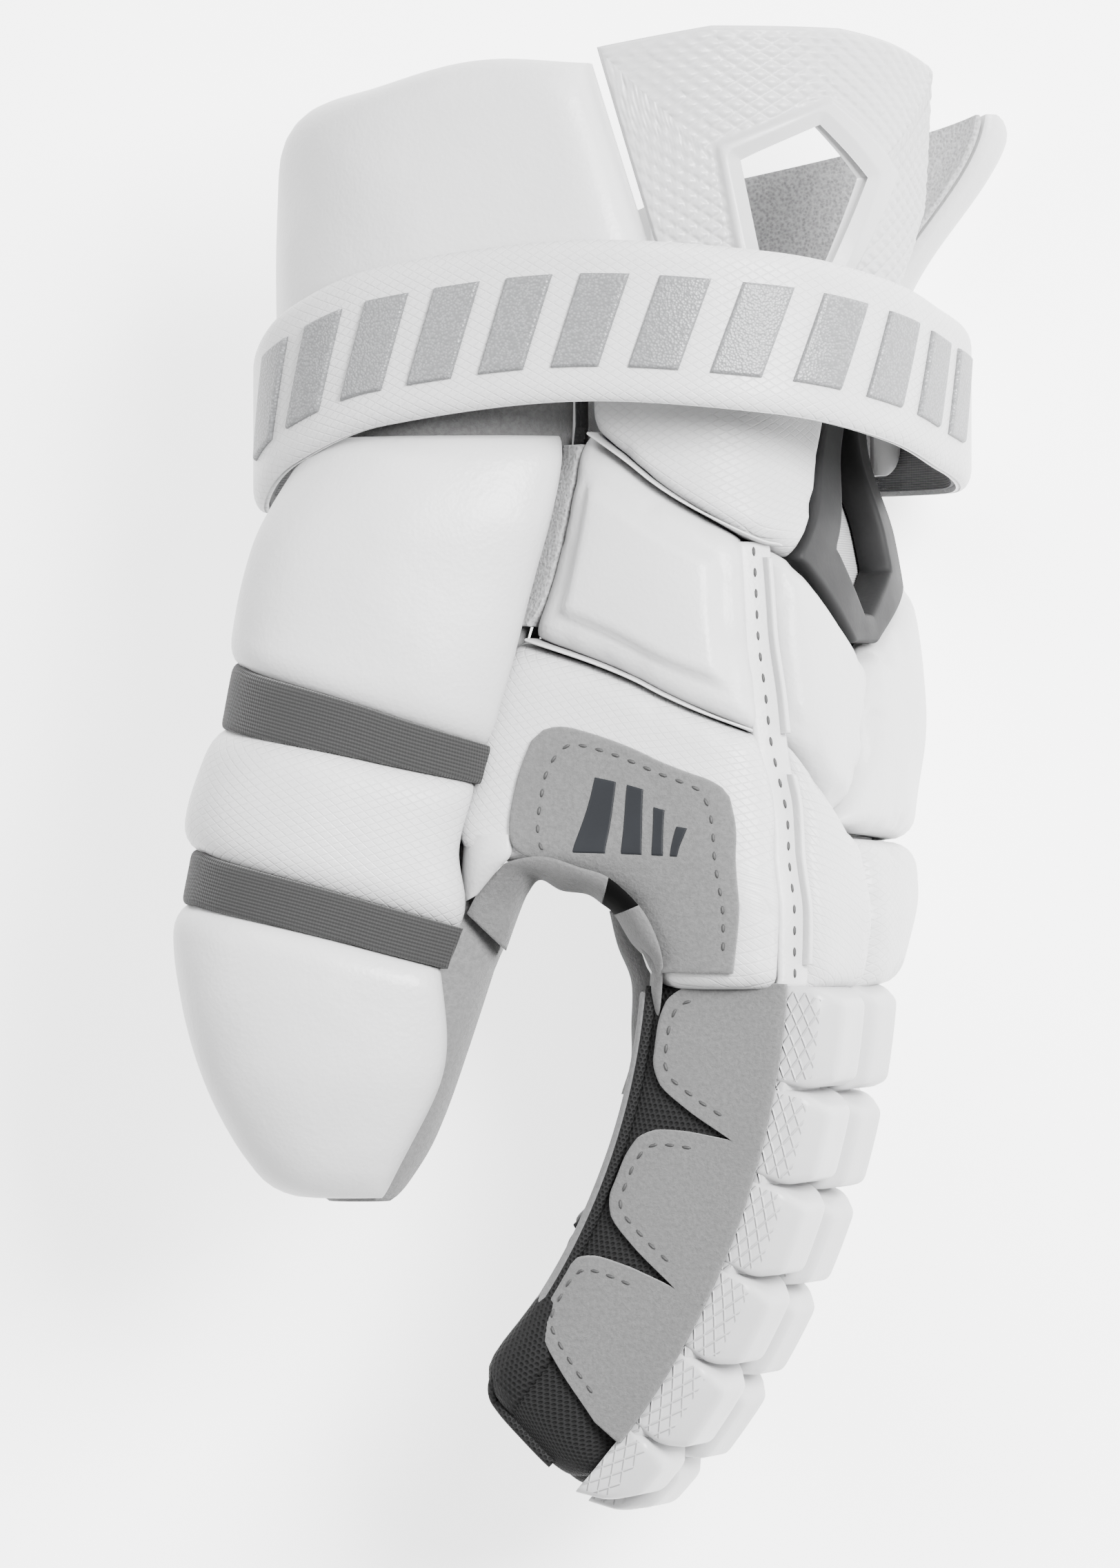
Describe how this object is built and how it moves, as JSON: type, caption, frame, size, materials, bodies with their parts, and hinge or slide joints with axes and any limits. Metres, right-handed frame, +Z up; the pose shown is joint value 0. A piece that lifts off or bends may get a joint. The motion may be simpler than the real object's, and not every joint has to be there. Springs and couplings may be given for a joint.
{
  "type": "sport glove",
  "caption": "White padded lacrosse glove for the left hand, with segmented finger guards, a banded thumb, a diamond-textured cuff and a wide wrist strap",
  "frame": {"origin": "on the surface that the glove lies on, under the middle of its bounding box", "axes": "+Z up, out of the thumb side of the glove, +Y towards the cuff, +X out of the back of the hand"},
  "size_m": [0.1806, 0.3556, 0.1407],
  "materials": {
    "leather": "satin",
    "moulded": "satin",
    "suede": "matte",
    "mesh": "matte",
    "elastic": "matte",
    "lining": "matte",
    "insert": "satin",
    "print": "satin"
  },
  "bodies": {
    "root": {"hand_body": "lining", "hand_pad_wrist": "leather", "hand_pad_side": "leather", "hand_pad_crook": "leather", "hand_pad_back_upper": "leather", "hand_pad_back_lower": "leather", "hand_pad_outer_upper": "leather", "hand_pad_outer_lower": "leather", "hand_pad_little_upper": "leather", "hand_pad_little_lower": "leather", "edge_strip": "leather", "crook_patch": "suede", "palm": "suede", "crook_binding": "suede", "thumb_body": "suede", "thumb_pad_upper": "leather", "thumb_band_upper": "elastic", "thumb_pad_middle": "leather", "thumb_band_lower": "elastic", "thumb_pad_tip": "leather", "thumb_gusset": "suede", "finger_stall_1": "mesh", "finger_palm_1": "suede", "finger_armour_1": "moulded", "finger_stall_2": "mesh", "finger_palm_2": "suede", "finger_armour_2": "moulded", "finger_stall_3": "mesh", "finger_palm_3": "suede", "finger_armour_3": "moulded", "finger_stall_4": "mesh", "finger_palm_4": "suede", "finger_armour_4": "moulded", "index_flap": "suede", "wrist_insert": "insert", "cuff_shell": "moulded", "cuff_pad_thumb": "leather", "cuff_pad_palm": "leather", "cuff_fleece": "lining", "cuff_pad_little": "leather", "strap": "leather", "strap_lining": "lining", "strap_bar_1": "print", "strap_bar_2": "print", "strap_bar_3": "print", "strap_bar_4": "print", "strap_bar_5": "print", "strap_bar_6": "print", "strap_bar_7": "print", "strap_bar_8": "print", "strap_bar_9": "print", "strap_bar_10": "print", "strap_bar_11": "print", "strap_bar_12": "print"}
  },
  "joints": []
}
